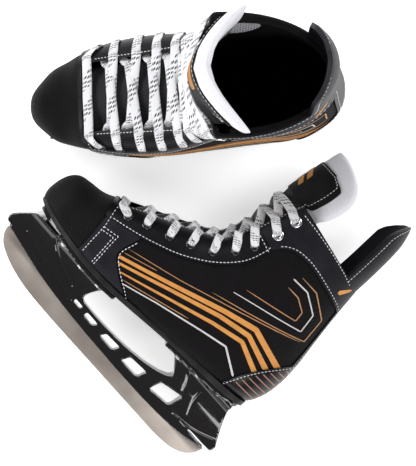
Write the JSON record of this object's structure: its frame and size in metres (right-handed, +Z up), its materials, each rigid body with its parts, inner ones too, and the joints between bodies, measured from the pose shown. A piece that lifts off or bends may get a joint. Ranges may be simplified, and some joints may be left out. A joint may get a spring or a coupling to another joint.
{
  "type": "pair of ice skates",
  "caption": "Pair of lace-up ice skates: padded high boot, riveted blade holder, bolted steel runner, laced eyelets, felt tongue and flexing heel tendon guard.",
  "frame": {"origin": "on the floor, under the middle of the pair's box", "axes": "+Z up from the floor; +X runs close to the lying left skate's heel-to-toe line; +Y runs from its cuff towards its blade; the right skate stands on its runner with its toe heading 50.7 degrees from +X towards +Y"},
  "size_m": [0.3824, 0.3598, 0.323],
  "materials": {
    "runner_steel": "satin",
    "holder_gloss_black": "gloss",
    "sole_rubber": "satin",
    "black_leather": "satin",
    "counter_gloss": "semi-gloss",
    "woven_cloth": "matte",
    "lining_cloth": "matte",
    "white_felt": "matte",
    "lace_white": "matte",
    "bright_metal": "polished",
    "insole_board": "matte"
  },
  "bodies": {
    "left_skate": {"left_runner": "runner_steel", "left_runner_bolt_front": "bright_metal", "left_runner_bolt_rear": "bright_metal", "left_holder": "holder_gloss_black", "left_outsole": "sole_rubber", "left_rivets_front": "bright_metal", "left_rivets_rear": "bright_metal", "left_insole_board": "insole_board", "left_footbed": "lining_cloth", "left_toe_cap": "woven_cloth", "left_toe_puff": "sole_rubber", "left_quarter_outer": "woven_cloth", "left_quarter_inner": "woven_cloth", "left_vamp_outer": "black_leather", "left_vamp_inner": "black_leather", "left_facing_outer": "black_leather", "left_facing_inner": "black_leather", "left_eyelets_outer": "bright_metal", "left_eyelets_inner": "bright_metal", "left_cuff": "black_leather", "left_heel_counter": "counter_gloss", "left_backstay": "black_leather", "left_tongue_lower": "black_leather", "left_lace": "lace_white", "left_liner": "lining_cloth"},
    "left_tongue_top": {"left_tongue_upper": "white_felt", "left_tongue_badge": "black_leather"},
    "left_guard": {"left_tendon_guard": "black_leather"},
    "right_skate": {"right_runner": "runner_steel", "right_runner_bolt_front": "bright_metal", "right_runner_bolt_rear": "bright_metal", "right_holder": "holder_gloss_black", "right_outsole": "sole_rubber", "right_rivets_front": "bright_metal", "right_rivets_rear": "bright_metal", "right_insole_board": "insole_board", "right_footbed": "lining_cloth", "right_toe_cap": "woven_cloth", "right_toe_puff": "sole_rubber", "right_quarter_outer": "woven_cloth", "right_quarter_inner": "woven_cloth", "right_vamp_outer": "black_leather", "right_vamp_inner": "black_leather", "right_facing_outer": "black_leather", "right_facing_inner": "black_leather", "right_eyelets_outer": "bright_metal", "right_eyelets_inner": "bright_metal", "right_cuff": "black_leather", "right_heel_counter": "counter_gloss", "right_backstay": "black_leather", "right_tongue_lower": "black_leather", "right_lace": "lace_white", "right_liner": "lining_cloth"},
    "right_tongue_top": {"right_tongue_upper": "white_felt", "right_tongue_badge": "black_leather"},
    "right_guard": {"right_tendon_guard": "black_leather"}
  },
  "joints": [
    {"name": "left_tongue_flex", "type": "hinge", "parent": "left_skate", "child": "left_tongue_top", "pos_m": [-0.0435, -0.07019, 0.05611], "axis": [-0.1011, 0.0295, 0.9944], "range_deg": [-4, 35], "stiffness_Nm_per_rad": 1},
    {"name": "left_guard_flex", "type": "hinge", "parent": "left_skate", "child": "left_guard", "pos_m": [-0.16189, -0.06355, 0.04388], "axis": [0.1011, -0.0295, -0.9944], "range_deg": [-4, 20], "stiffness_Nm_per_rad": 2},
    {"name": "right_tongue_flex", "type": "hinge", "parent": "right_skate", "child": "right_tongue_top", "pos_m": [0.0802, -0.06135, 0.25], "axis": [-0.7738, 0.6334, 0], "range_deg": [-4, 35], "stiffness_Nm_per_rad": 1},
    {"name": "right_guard_flex", "type": "hinge", "parent": "right_skate", "child": "right_guard", "pos_m": [0.00483, -0.15344, 0.243], "axis": [0.7738, -0.6334, 0], "range_deg": [-4, 20], "stiffness_Nm_per_rad": 2},
    {"name": "right_skate_lift", "type": "slide", "parent": "left_skate", "child": "right_skate", "axis": [0, 0, 1], "range_m": [0, 0.12]}
  ]
}
